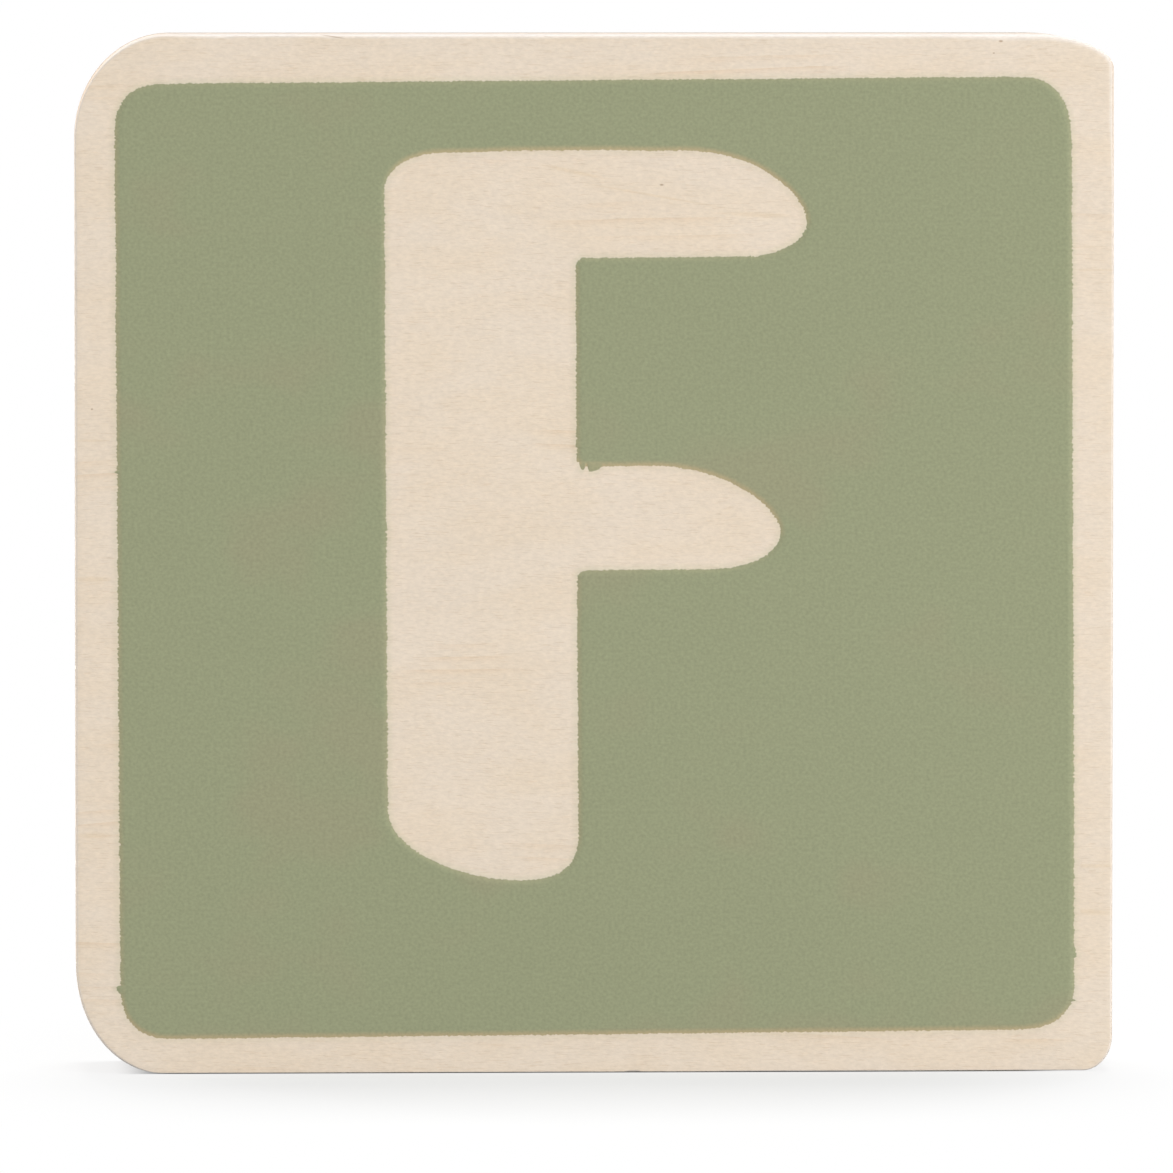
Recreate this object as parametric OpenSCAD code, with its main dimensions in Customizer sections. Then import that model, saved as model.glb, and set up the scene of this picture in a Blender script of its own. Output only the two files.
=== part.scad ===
// Letter tile of a toy letter train.
// Seven birch plies glued crosswise into one flat block, with a painted field on the front
// that leaves the letter and a narrow border as bare wood.
// Millimetres, +Z up, the painted front faces -Y, origin at the middle of the base edge.

/* [Tile] */
// Width of the tile, left to right
tile_w = 60; // [50:0.5:90]
// Height of the tile
tile_h = 60; // [50:0.5:90]
// Run and drop of the top left corner's curve
tile_corner_tl = [5.5, 6.1]; // [1:0.1:8]
// Run and drop of the top right corner's curve
tile_corner_tr = [4.6, 2.0]; // [1:0.1:8]
// Run and drop of the bottom right corner's curve
tile_corner_br = [1.7, 2.0]; // [1:0.1:8]
// Run and drop of the bottom left corner's curve
tile_corner_bl = [5.0, 6.3]; // [1:0.1:8]
// Radius of the sanded arris round the front and the back
arris_r = 0.15; // [0.05:0.05:0.45]

/* [Plies] */
// Thickness of the front veneer and of the back veneer after sanding
face_ply_t = 1.0; // [0.6:0.05:2]
// Thickness of each of the five inner plies
inner_ply_t = 1.28; // [0.6:0.02:2.5]
// Thickness of each of the six glue lines
glue_t = 0.1; // [0.05:0.01:0.3]

/* [Painted field] */
// Bare border left of the field
border_left = 2.45; // [1.2:0.05:6]
// Bare border right of the field
border_right = 2.35; // [1.2:0.05:6]
// Bare border above the field
border_top = 2.65; // [1.2:0.05:6]
// Bare border below the field
border_bottom = 2.2; // [1.2:0.05:6]
// Run and drop of the field's top left corner
field_corner_tl = [3.0, 3.0]; // [0.5:0.1:6]
// Run and drop of the field's top right corner
field_corner_tr = [3.2, 4.0]; // [0.5:0.1:6]
// Run and drop of the field's bottom right corner
field_corner_br = [3.6, 2.8]; // [0.5:0.1:6]
// Run and drop of the field's bottom left corner
field_corner_bl = [3.2, 3.2]; // [0.5:0.1:6]
// Fullness of the field's corners, where 2 is an ellipse and more is squarer
field_corner_power = 2.6; // [2:0.1:4]
// Thickness of the paint film
paint_t = 0.08; // [0.03:0.01:0.3]
// Tilt of the print's level lines, up to the right, in degrees
row_tilt = 0.45; // [-1:0.05:1]
// Tilt of the print's upright lines, over to the left, in degrees
stem_tilt = 0.3; // [-1:0.05:1]

/* [Letter] */
// How far the letter's middle lies right of the field's middle
letter_shift = 0.1; // [-6:0.1:6]
// Paint above the letter
letter_margin_top = 4.0; // [2:0.1:8]
// Paint below the letter
letter_margin_bottom = 8.95; // [2:0.05:10]
// Width of the stem
stem_w = 11.05; // [7:0.05:14]
// Height of the top arm
top_arm_h = 6.25; // [5:0.05:9]
// Length of the top arm, from the stem to its tip
top_arm_l = 13.4; // [10:0.1:18]
// Height of the middle arm
mid_arm_h = 6.05; // [5:0.05:9]
// Length of the middle arm, from the stem to its tip
mid_arm_l = 11.8; // [10:0.1:18]
// Drop from the top of the letter to the top of the middle arm
mid_arm_drop = 18.25; // [12:0.05:24]
// Run and drop of the curve at the stem's top left
stem_head = [3.4, 2.3]; // [0.3:0.1:4]
// Run of the long curve over the end of the top arm
top_nose_run = 7.2; // [1:0.1:9]
// Run of the long curve over the end of the middle arm
mid_nose_run = 7.7; // [1:0.1:9]
// Run and rise of the short curve under the end of each arm
arm_heel = [4.0, 2.1]; // [0.3:0.1:4]
// Fullness of the letter's long curves, where 2 is an ellipse and less is slimmer
long_curve_power = 1.8; // [1.5:0.05:3]
// Run and rise of the short curve at the foot's right
foot_toe = [3.5, 2.6]; // [0.3:0.1:5]
// Rise of the long curve at the foot's left
foot_rise = 4.0; // [0.5:0.1:6]
// Fullness of the short curve at the foot's right
foot_power = 2.6; // [2:0.1:4]
// Radius of the paint's corners between the stem and the arms
inner_corner_r = 0.5; // [0.1:0.05:1]

/* [Hidden] */

ply_count = 7;
ellipse_power = 2;
curve_steps = 12;
inner_corner_steps = 4;
arris_steps = 4;

long_grain_colour = [0.90, 0.84, 0.76];
cross_grain_colour = [0.83, 0.74, 0.62];
glue_colour = [0.47, 0.32, 0.20];
paint_colour = [0.60, 0.62, 0.49];

tile_t = 2 * face_ply_t + (ply_count - 2) * inner_ply_t + (ply_count - 1) * glue_t;
front_y = -tile_t / 2;

field_w = tile_w - border_left - border_right;
field_h = tile_h - border_top - border_bottom;
field_mid = [(border_left - border_right) / 2, border_bottom + field_h / 2];

// The letter's main lines, measured from the middle of the field
stem_left = letter_shift - (stem_w + top_arm_l) / 2;
stem_right = stem_left + stem_w;
top_tip = stem_right + top_arm_l;
mid_tip = stem_right + mid_arm_l;
letter_top = field_h / 2 - letter_margin_top;
letter_foot = letter_margin_bottom - field_h / 2;
top_arm_under = letter_top - top_arm_h;
mid_arm_top = letter_top - mid_arm_drop;
mid_arm_under = mid_arm_top - mid_arm_h;
top_nose = [top_nose_run, top_arm_h - arm_heel[1]];
mid_nose = [mid_nose_run, mid_arm_h - arm_heel[1]];
foot_run = stem_w - foot_toe[0];

// Quarter of a superellipse round a centre, clockwise from the start angle
function bend(v, power) = sign(v) * pow(abs(v), 2 / power);
function quarter(centre, size, start, power = ellipse_power, steps = curve_steps) = [
    for (k = [0 : steps])
        let (a = start - 90 * k / steps)
        centre + [size[0] * bend(cos(a), power), size[1] * bend(sin(a), power)]
];

// Rounded inner corner, counter-clockwise from the start angle
function inner_corner(centre, start) = [
    for (k = [0 : inner_corner_steps])
        let (a = start + 90 * k / inner_corner_steps)
        centre + inner_corner_r * [cos(a), sin(a)]
];

// Box outline round its middle, with its own curve at each corner: tl, tr, br, bl
function box_outline(w, h, tl, tr, br, bl, power = ellipse_power) = concat(
    quarter([-w / 2 + tl[0], h / 2 - tl[1]], tl, 180, power),
    quarter([w / 2 - tr[0], h / 2 - tr[1]], tr, 90, power),
    quarter([w / 2 - br[0], br[1] - h / 2], br, 0, power),
    quarter([-w / 2 + bl[0], bl[1] - h / 2], bl, -90, power)
);

function field_outline() = box_outline(
    field_w, field_h,
    field_corner_tl, field_corner_tr, field_corner_br, field_corner_bl,
    field_corner_power
);

function letter_outline() = concat(
    quarter([stem_left + stem_head[0], letter_top - stem_head[1]], stem_head, 180),
    quarter([top_tip, letter_top] - top_nose, top_nose, 90, long_curve_power),
    quarter([top_tip - arm_heel[0], top_arm_under + arm_heel[1]], arm_heel, 0),
    inner_corner([stem_right + inner_corner_r, top_arm_under - inner_corner_r], 90),
    inner_corner([stem_right + inner_corner_r, mid_arm_top + inner_corner_r], 180),
    quarter([mid_tip, mid_arm_top] - mid_nose, mid_nose, 90, long_curve_power),
    quarter([mid_tip - arm_heel[0], mid_arm_under + arm_heel[1]], arm_heel, 0),
    inner_corner([stem_right + inner_corner_r, mid_arm_under - inner_corner_r], 90),
    quarter([stem_right - foot_toe[0], letter_foot + foot_toe[1]], foot_toe, 0, foot_power),
    quarter([stem_left + foot_run, letter_foot + foot_rise], [foot_run, foot_rise], -90, long_curve_power)
);

// Sets an outline that is drawn round the middle of the field on the tile, tilted as printed
function printed(outline) = [
    for (p = outline)
        field_mid + p[0] * [cos(row_tilt), sin(row_tilt)] + p[1] * [-sin(stem_tilt), cos(stem_tilt)]
];

// Front side of a ply, counted from 0 at the front
function ply_y(i) = i == 0 ? front_y : front_y + face_ply_t + glue_t + (i - 1) * (inner_ply_t + glue_t);

// Outline of the tile, drawn in by an inset all round
function tile_points(inset = 0) =
    let (step = [inset, inset])
    [
        for (p = box_outline(
            tile_w - 2 * inset, tile_h - 2 * inset,
            tile_corner_tl - step, tile_corner_tr - step,
            tile_corner_br - step, tile_corner_bl - step
        )) p + [0, tile_h / 2]
    ];

// Stands a flat outline up as a sheet whose front lies at y
module sheet(y, t) {
    translate([0, y + t, 0])
        rotate([90, 0, 0])
            linear_extrude(t)
                children();
}

// Face veneer at the front of the tile, with its arris rounded by sanding.
// Rings of the tile's outline run from the face, over the arris and down to the glue.
module face_veneer() {
    insets = [for (k = [0 : arris_steps]) arris_r * (1 - sin(90 * k / arris_steps)), 0];
    depths = [for (k = [0 : arris_steps]) arris_r * (1 - cos(90 * k / arris_steps)), face_ply_t];
    rings = [for (inset = insets) tile_points(inset)];
    n = len(rings[0]);
    last = len(rings) - 1;
    polyhedron(
        points = [for (r = [0 : last]) for (p = rings[r]) [p[0], front_y + depths[r], p[1]]],
        faces = concat(
            [[for (i = [0 : n - 1]) i]],
            [[for (i = [n - 1 : -1 : 0]) last * n + i]],
            [for (r = [0 : last - 1]) for (i = [0 : n - 1])
                [r * n + i, (r + 1) * n + i, (r + 1) * n + (i + 1) % n]],
            [for (r = [0 : last - 1]) for (i = [0 : n - 1])
                [r * n + i, (r + 1) * n + (i + 1) % n, r * n + (i + 1) % n]]
        )
    );
}

module inner_ply(i) {
    sheet(ply_y(i), inner_ply_t)
        polygon(tile_points());
}

// Glue line in front of a ply, up to the back of the ply before it
module glue_line(i) {
    color(glue_colour)
        sheet(ply_y(i) - glue_t, glue_t)
            polygon(tile_points());
}

module painted_field() {
    color(paint_colour)
        sheet(front_y - paint_t, paint_t)
            difference() {
                polygon(printed(field_outline()));
                polygon(printed(letter_outline()));
            }
}

module front_veneer() {
    color(long_grain_colour)
        face_veneer();
}

module front_crossband() {
    color(cross_grain_colour)
        inner_ply(1);
}

module front_inner_ply() {
    color(long_grain_colour)
        inner_ply(2);
}

module core_ply() {
    color(cross_grain_colour)
        inner_ply(3);
}

module back_inner_ply() {
    color(long_grain_colour)
        inner_ply(4);
}

module back_crossband() {
    color(cross_grain_colour)
        inner_ply(5);
}

module back_veneer() {
    color(long_grain_colour)
        mirror([0, 1, 0])
            face_veneer();
}

painted_field();
front_veneer();
glue_line(1);  // glue_line_1
front_crossband();
glue_line(2);  // glue_line_2
front_inner_ply();
glue_line(3);  // glue_line_3
core_ply();
glue_line(4);  // glue_line_4
back_inner_ply();
glue_line(5);  // glue_line_5
back_crossband();
glue_line(6);  // glue_line_6
back_veneer();
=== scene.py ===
"""Letter tile of a toy letter train, dressed and lit for its portrait.

Seven birch plies, the glue between them and a printed sage field take their sizes and places from
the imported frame. Each gets the sanded edges, the grain and the print that the real tile shows.
Sizes in the dataclasses are millimetres unless a field says otherwise. The frame is in metres.
"""

from __future__ import annotations

import logging
import math
from collections.abc import Callable, Iterator
from contextlib import contextmanager
from dataclasses import dataclass
from enum import Enum

import bmesh
import bpy
from mathutils import Matrix, Vector, noise

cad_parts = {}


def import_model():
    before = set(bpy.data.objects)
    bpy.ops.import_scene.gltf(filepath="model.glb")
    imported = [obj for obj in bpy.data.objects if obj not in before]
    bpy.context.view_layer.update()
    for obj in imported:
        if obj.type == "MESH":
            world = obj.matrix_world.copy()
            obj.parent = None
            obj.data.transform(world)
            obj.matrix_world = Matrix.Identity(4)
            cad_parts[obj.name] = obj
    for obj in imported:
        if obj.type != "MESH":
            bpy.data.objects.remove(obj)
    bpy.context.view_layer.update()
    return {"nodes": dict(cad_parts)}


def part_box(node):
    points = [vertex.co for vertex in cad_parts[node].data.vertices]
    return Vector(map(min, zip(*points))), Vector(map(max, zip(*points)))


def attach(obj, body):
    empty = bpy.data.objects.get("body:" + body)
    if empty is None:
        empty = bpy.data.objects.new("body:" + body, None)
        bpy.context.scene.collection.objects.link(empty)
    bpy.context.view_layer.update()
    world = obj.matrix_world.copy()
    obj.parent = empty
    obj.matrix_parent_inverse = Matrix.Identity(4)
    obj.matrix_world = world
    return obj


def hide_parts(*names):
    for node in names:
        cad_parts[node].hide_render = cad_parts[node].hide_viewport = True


LOG = logging.getLogger("letter_tile")

MM = 0.001
BODY = "root"

# Two places closer than this are the same place, in metres
SAME_PLACE = 2e-6

# Share of Y in the normal above which a face is flat on the tile, and below which it is a cut edge
FLAT_LEAN = 0.9
CUT_LEAN = 0.1

# Profile of a bevel that is a quarter of a circle
ROUND_PROFILE = 0.5

# Number of finer layers in a noise, and the value that every noise lies about
NO_LAYERS = 0.0
ONE_LAYER = 1.0
TWO_LAYERS = 2.0
NOISE_MIDDLE = 0.5

# Slots of the record that the two kinds of ply belong to
LONG_PLIES = "birch_long_grain"
CROSS_PLIES = "birch_cross_grain"

# Short names of the types in the signatures
Edge = bmesh.types.BMEdge
Material = bpy.types.Material
Mesh = bpy.types.Mesh
Node = bpy.types.Node
NodeTree = bpy.types.NodeTree
Piece = bpy.types.Object
Socket = bpy.types.NodeSocket
Colour = tuple[float, float, float]
Feed = Socket | float | tuple[float, ...]


class Grain(Enum):
    """Which way the fibres of a ply run on the standing tile."""

    LEVEL = "level"
    UPRIGHT = "upright"

    @property
    def axis(self) -> Colour:
        """Direction of the fibres."""
        return (1.0, 0.0, 0.0) if self is Grain.LEVEL else (0.0, 0.0, 1.0)

    @property
    def turn(self) -> float:
        """Turn about Y, in radians, that lays the fibres along X."""
        return 0.0 if self is Grain.LEVEL else math.pi / 2


class Facing(Enum):
    """Which side of the tile a face veneer closes."""

    FRONT = -1
    BACK = 1


class Part(Enum):
    """What a mesh operator picks from."""

    VERTS = "VERT"
    EDGES = "EDGE"
    FACES = "FACE"

    @property
    def sequence(self) -> str:
        """Name under which a mesh holds all of them."""
        return self.name.lower()


def deselect_all() -> None:
    """Empties the selection, so that the next operator acts on one piece only."""
    for chosen in list(bpy.context.selected_objects):
        chosen.select_set(False)


def select_only(piece: Piece) -> None:
    """Makes one piece the whole selection and the active object.

    Args:
        piece: The piece.
    """
    deselect_all()
    piece.select_set(True)
    bpy.context.view_layer.objects.active = piece


@contextmanager
def editing(piece: Piece, part: Part) -> Iterator[None]:
    """Opens one piece in edit mode with nothing selected, and closes it again.

    Args:
        piece: The piece to open.
        part: What the operators inside select.
    """
    select_only(piece)
    bpy.ops.object.mode_set(mode="EDIT")
    bpy.ops.mesh.select_mode(type=part.value)
    bpy.ops.mesh.select_all(action="DESELECT")
    yield
    bpy.ops.object.mode_set(mode="OBJECT")


def choose(piece: Piece, part: Part, test: Callable[..., bool]) -> int:
    """Selects what passes a test in the piece that is open in edit mode, and nothing else.

    Args:
        piece: The open piece.
        part: Vertices, edges or faces.
        test: Says whether one of them is wanted.

    Returns:
        How many were selected.
    """
    bpy.ops.mesh.select_all(action="DESELECT")
    mesh = bmesh.from_edit_mesh(piece.data)
    mesh.normal_update()
    wanted = [item for item in getattr(mesh, part.sequence) if test(item)]
    for item in wanted:
        item.select_set(True)
    mesh.select_flush_mode()
    bmesh.update_edit_mesh(piece.data)
    return len(wanted)


def apply_place(piece: Piece) -> None:
    """Puts the piece's place and scale into its mesh, with its object left at the origin."""
    select_only(piece)
    bpy.ops.object.transform_apply(location=True, rotation=True, scale=True)


def smooth_by_angle(piece: Piece, degrees: float) -> None:
    """Shades the piece smooth over edges flatter than an angle in degrees."""
    select_only(piece)
    bpy.ops.object.shade_smooth_by_angle(angle=math.radians(degrees))


def round_edges(radius: float, steps: int) -> None:
    """Bevels the selected edges of the open piece round.

    Args:
        radius: Width of the bevel, in metres.
        steps: Number of flats that make the curve.
    """
    bpy.ops.mesh.bevel(
        offset_type="OFFSET",
        offset=radius,
        segments=steps,
        profile=ROUND_PROFILE,
        affect="EDGES",
        clamp_overlap=False,
    )


def seat(piece: Piece, material: Material, node: str) -> None:
    """Gives a piece its material and lets it stand for its CAD node on the tile's body.

    Args:
        piece: The built piece.
        material: Its material.
        node: CAD node that it stands for.
    """
    piece.data.materials.append(material)
    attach(piece, BODY)
    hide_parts(node)


@dataclass(frozen=True)
class CornerCurve:
    """One corner of the tile: its place, and its run and drop in metres."""

    place: tuple[float, float]
    run: float
    drop: float


@dataclass(frozen=True)
class TileOutline:
    """Outline of the tile as its plies carry it, in metres."""

    low: tuple[float, float]
    high: tuple[float, float]
    corners: tuple[CornerCurve, ...]

    @classmethod
    def of_node(cls, node: Piece) -> TileOutline:
        """Reads the outline from a ply.

        Args:
            node: A CAD ply whose whole edge is the tile's outline.

        Returns:
            The outline, with the four corner curves.
        """
        points = [(v.co.x, v.co.z) for v in node.data.vertices]
        low = (min(p[0] for p in points), min(p[1] for p in points))
        high = (max(p[0] for p in points), max(p[1] for p in points))
        corners = []
        for x in (low[0], high[0]):
            for z in (low[1], high[1]):
                level = [abs(p[0] - x) for p in points if abs(p[1] - z) < SAME_PLACE]
                upright = [abs(p[1] - z) for p in points if abs(p[0] - x) < SAME_PLACE]
                corners.append(CornerCurve((x, z), min(level), min(upright)))
        return cls(low, high, tuple(corners))


@dataclass(frozen=True)
class SheetCutter:
    """Cuts flat sheets to the outline of the tile."""

    outline: TileOutline
    corner_steps: int = 64

    def cut(self, name: str, front: float, back: float, draw_in: float = 0.0) -> Piece:
        """Makes a sheet with the tile's outline from a block.

        Args:
            name: Name of the piece.
            front: Y of its front side, in metres.
            back: Y of its back side, in metres.
            draw_in: How far its edge stays inside the outline, in metres.

        Returns:
            The sheet, with its place in its mesh.
        """
        low, high = self.outline.low, self.outline.high
        middle = ((low[0] + high[0]) / 2, (front + back) / 2, (low[1] + high[1]) / 2)
        size = (high[0] - low[0], back - front, high[1] - low[1])
        deselect_all()
        bpy.ops.mesh.primitive_cube_add(size=1.0, location=middle, scale=size)
        sheet = bpy.context.object
        sheet.name = name
        sheet.data.name = name
        apply_place(sheet)
        with editing(sheet, Part.EDGES):
            for corner in self.outline.corners:
                self.round_corner(sheet, corner)
        if draw_in > 0.0:
            self.draw_edge_in(sheet, size, draw_in)
        return sheet

    def round_corner(self, sheet: Piece, corner: CornerCurve) -> None:
        """Bevels one corner to its run and stretches the curve to its drop.

        Args:
            sheet: The sheet, open in edit mode.
            corner: The corner.
        """
        x, z = corner.place

        def at_corner(edge: Edge) -> bool:
            """Whether the edge is the block's upright corner edge."""
            return all(math.hypot(v.co.x - x, v.co.z - z) < SAME_PLACE for v in edge.verts)

        choose(sheet, Part.EDGES, at_corner)
        round_edges(corner.run, self.corner_steps)
        bpy.ops.transform.resize(
            value=(1.0, 1.0, corner.drop / corner.run),
            orient_type="GLOBAL",
            center_override=(x, 0.0, z),
        )

    def draw_edge_in(self, sheet: Piece, size: tuple[float, ...], draw_in: float) -> None:
        """Draws the whole edge in by shrinking the sheet about its middle.

        Args:
            sheet: The sheet.
            size: Its size along X, Y and Z, in metres.
            draw_in: How far its edge goes in, in metres.
        """
        low, high = self.outline.low, self.outline.high
        with editing(sheet, Part.VERTS):
            bpy.ops.mesh.select_all(action="SELECT")
            bpy.ops.transform.resize(
                value=(1.0 - 2 * draw_in / size[0], 1.0, 1.0 - 2 * draw_in / size[2]),
                orient_type="GLOBAL",
                center_override=((low[0] + high[0]) / 2, 0.0, (low[1] + high[1]) / 2),
            )


def split_long_edges(piece: Piece, longest: float) -> None:
    """Halves the edges that lie in a sheet's plane until none is too long.

    Args:
        piece: The sheet.
        longest: Length that no edge passes, in metres.
    """

    def too_long(edge: Edge) -> bool:
        """Whether the edge lies in the plane and is still too long."""
        rise = abs(edge.verts[0].co.y - edge.verts[1].co.y)
        return rise < SAME_PLACE and edge.calc_length() > longest

    with editing(piece, Part.EDGES):
        while choose(piece, Part.EDGES, too_long):
            bpy.ops.mesh.subdivide(number_cuts=1)


def is_rim(edge: Edge) -> bool:
    """Whether an edge of a sheet lies between its flat side and its cut edge."""
    tilts = sorted(abs(face.normal.y) for face in edge.link_faces)
    return len(tilts) == 2 and tilts[0] < CUT_LEAN and tilts[1] > FLAT_LEAN


def opaque(colour: Feed) -> Feed:
    """Gives a plain colour the full alpha that a colour socket wants."""
    return colour if isinstance(colour, Socket) else (*colour, 1.0)


class Recipe:
    """Lays nodes into one shader tree and joins them."""

    def __init__(self, tree: NodeTree) -> None:
        """Keeps the tree that the nodes go into."""
        self.tree = tree

    def node(self, kind: str, feeds: dict[str, Feed] | None = None, **options: object) -> Node:
        """Adds a node.

        Args:
            kind: Type of the node.
            feeds: What goes into its inputs, by their names.
            options: Its settings, by their names.

        Returns:
            The node.
        """
        made = self.tree.nodes.new(kind)
        for option, value in options.items():
            setattr(made, option, value)
        for name, value in (feeds or {}).items():
            self.feed(made.inputs[name], value)
        return made

    def feed(self, socket: Socket, value: Feed) -> None:
        """Links a socket to another one, or gives it a plain value.

        Args:
            socket: The input to feed.
            value: The output that feeds it, or the plain value.
        """
        if isinstance(value, Socket):
            self.tree.links.new(value, socket)
        else:
            socket.default_value = value

    def math(self, operation: str, *values: Feed) -> Socket:
        """Works a sum on one, two or three values.

        Args:
            operation: The sum.
            values: What it works on, in order.

        Returns:
            The result.
        """
        made = self.node("ShaderNodeMath", operation=operation)
        for socket, value in zip(made.inputs, values):
            self.feed(socket, value)
        return made.outputs["Value"]

    def vector(self, operation: str, *values: Feed) -> Socket:
        """Works a sum on vectors.

        Args:
            operation: The sum.
            values: What it works on, in order.

        Returns:
            The result, which is a vector or, for a length or a dot product, a value.
        """
        made = self.node("ShaderNodeVectorMath", operation=operation)
        for socket, value in zip(made.inputs, values):
            self.feed(socket, value)
        single = operation in ("DOT_PRODUCT", "LENGTH")
        return made.outputs["Value" if single else "Vector"]

    def noise(self, place: Socket, size: Colour, detail: float, roughness: float = 0.5) -> Socket:
        """Cloudy noise about zero.

        Args:
            place: Where the noise is read.
            size: Length of its features along X, Y and Z.
            detail: Number of finer layers.
            roughness: Weight of the finer layers.

        Returns:
            A value from about -0.5 to 0.5.
        """
        feeds = {
            "Vector": self.vector("DIVIDE", place, size),
            "Scale": 1.0,
            "Detail": detail,
            "Roughness": roughness,
        }
        made = self.node("ShaderNodeTexNoise", feeds, noise_dimensions="3D")
        return self.math("SUBTRACT", made.outputs["Fac"], NOISE_MIDDLE)

    def step(self, value: Feed, low: float, high: float) -> Socket:
        """Smooth step from 0 at a low value to 1 at a high one."""
        feeds = {"Value": value, "From Min": low, "From Max": high}
        return self.node("ShaderNodeMapRange", feeds, interpolation_type="SMOOTHSTEP").outputs["Result"]

    def blend(self, mode: str, share: Feed, first: Feed, second: Feed) -> Socket:
        """Mixes two colours.

        Args:
            mode: The blend mode.
            share: Share of the second colour.
            first: The first colour.
            second: The second colour.

        Returns:
            The mixed colour.
        """
        made = self.node("ShaderNodeMix", data_type="RGBA", blend_type=mode)
        sockets = {socket.identifier: socket for socket in made.inputs}
        self.feed(sockets["Factor_Float"], share)
        self.feed(sockets["A_Color"], opaque(first))
        self.feed(sockets["B_Color"], opaque(second))
        return next(socket for socket in made.outputs if socket.identifier == "Result_Color")

    def lighten(self, colour: Feed, change: Feed) -> Socket:
        """Scales a colour by one plus a change."""
        feeds = {"Vector": colour, "Scale": self.math("ADD", change, 1.0)}
        return self.node("ShaderNodeVectorMath", feeds, operation="SCALE").outputs["Vector"]

    def group(self, tree: NodeTree, **values: Feed) -> Node:
        """Places a node group and feeds its inputs by name."""
        return self.node("ShaderNodeGroup", values, node_tree=tree)


def new_group(name: str, inputs: dict[str, str], outputs: dict[str, str]) -> Recipe:
    """Starts a shader node group.

    Args:
        name: Name of the group.
        inputs: Socket type of each input, by name.
        outputs: Socket type of each output, by name.

    Returns:
        The recipe that fills the group.
    """
    tree = bpy.data.node_groups.new(name, "ShaderNodeTree")
    for socket, kind in inputs.items():
        tree.interface.new_socket(socket, in_out="INPUT", socket_type=kind)
    for socket, kind in outputs.items():
        tree.interface.new_socket(socket, in_out="OUTPUT", socket_type=kind)
    tree.nodes.new("NodeGroupInput")
    tree.nodes.new("NodeGroupOutput")
    return Recipe(tree)


VECTOR = "NodeSocketVector"
COLOUR = "NodeSocketColor"
VALUE = "NodeSocketFloat"


@dataclass(frozen=True)
class BirchFigure:
    """Figure of rotary-cut birch: soft warm clouds, growth lines, fibre flecks and open vessels."""

    wander_size: Colour = (14.0, 6.0, 10.0)
    wander: float = 1.0
    cloud_size: Colour = (9.0, 2.0, 2.6)
    cloud: float = 0.05
    warm_size: Colour = (5.5, 2.0, 2.4)
    warm: tuple[float, float] = (-0.14, 0.16)
    warm_colour: Colour = (1.0, 0.984, 0.955)
    sway_size: Colour = (40.0, 1.5, 14.0)
    sway: float = 5.0
    ring_pitch: float = 0.85
    ring_sharpness: float = 3.0
    ring_patch_size: Colour = (11.0, 2.0, 3.5)
    ring_patch: tuple[float, float] = (0.09, 0.24)
    ring_colour: Colour = (0.965, 0.915, 0.850)
    fleck_size: Colour = (0.34, 0.3, 0.16)
    fleck: float = 0.24
    fleck_roughness: float = 0.6
    vessel_size: Colour = (0.70, 0.15, 0.055)
    vessel_mark: tuple[float, float] = (0.15, 0.26)
    vessel_colour: Colour = (0.950, 0.925, 0.895)
    vessel_depth: float = 0.35

    def build(self) -> NodeTree:
        """Makes the group, which reads a place in millimetres with the fibres along X.

        Returns:
            The group, which gives a colour and a height.
        """
        recipe = new_group(
            "birch_figure", {"Place": VECTOR, "Tone": COLOUR}, {"Color": COLOUR, "Height": VALUE}
        )
        source = recipe.tree.nodes["Group Input"].outputs
        result = recipe.tree.nodes["Group Output"].inputs
        place = source["Place"]
        wander = recipe.math("MULTIPLY", recipe.noise(place, self.wander_size, ONE_LAYER), self.wander)
        shift = recipe.node("ShaderNodeCombineXYZ", {"Z": wander})
        fibre = recipe.vector("ADD", place, shift.outputs["Vector"])
        level = recipe.node("ShaderNodeSeparateXYZ", {"Vector": fibre})

        sway = recipe.math("MULTIPLY", recipe.noise(place, self.sway_size, ONE_LAYER), self.sway)
        height = recipe.math("ADD", level.outputs["Z"], sway)
        ring = recipe.math("FRACT", recipe.math("DIVIDE", height, self.ring_pitch))
        late_wood = recipe.math("POWER", ring, self.ring_sharpness)
        patch = recipe.step(recipe.noise(place, self.ring_patch_size, ONE_LAYER), *self.ring_patch)
        line = recipe.math("MULTIPLY", late_wood, patch)

        cloud = recipe.math("MULTIPLY", recipe.noise(fibre, self.cloud_size, TWO_LAYERS), self.cloud)
        warm = recipe.step(recipe.noise(fibre, self.warm_size, TWO_LAYERS), *self.warm)
        fleck_noise = recipe.noise(fibre, self.fleck_size, TWO_LAYERS, self.fleck_roughness)
        fleck = recipe.math("MULTIPLY", fleck_noise, self.fleck)
        vessel = recipe.step(recipe.noise(fibre, self.vessel_size, NO_LAYERS), *self.vessel_mark)

        colour = recipe.lighten(source["Tone"], recipe.math("ADD", cloud, fleck))
        colour = recipe.blend("MULTIPLY", warm, colour, self.warm_colour)
        colour = recipe.blend("MULTIPLY", line, colour, self.ring_colour)
        colour = recipe.blend("MULTIPLY", vessel, colour, self.vessel_colour)
        relief = recipe.math("SUBTRACT", fleck_noise, recipe.math("MULTIPLY", vessel, self.vessel_depth))
        recipe.feed(result["Color"], colour)
        recipe.feed(result["Height"], relief)
        return recipe.tree


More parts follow.
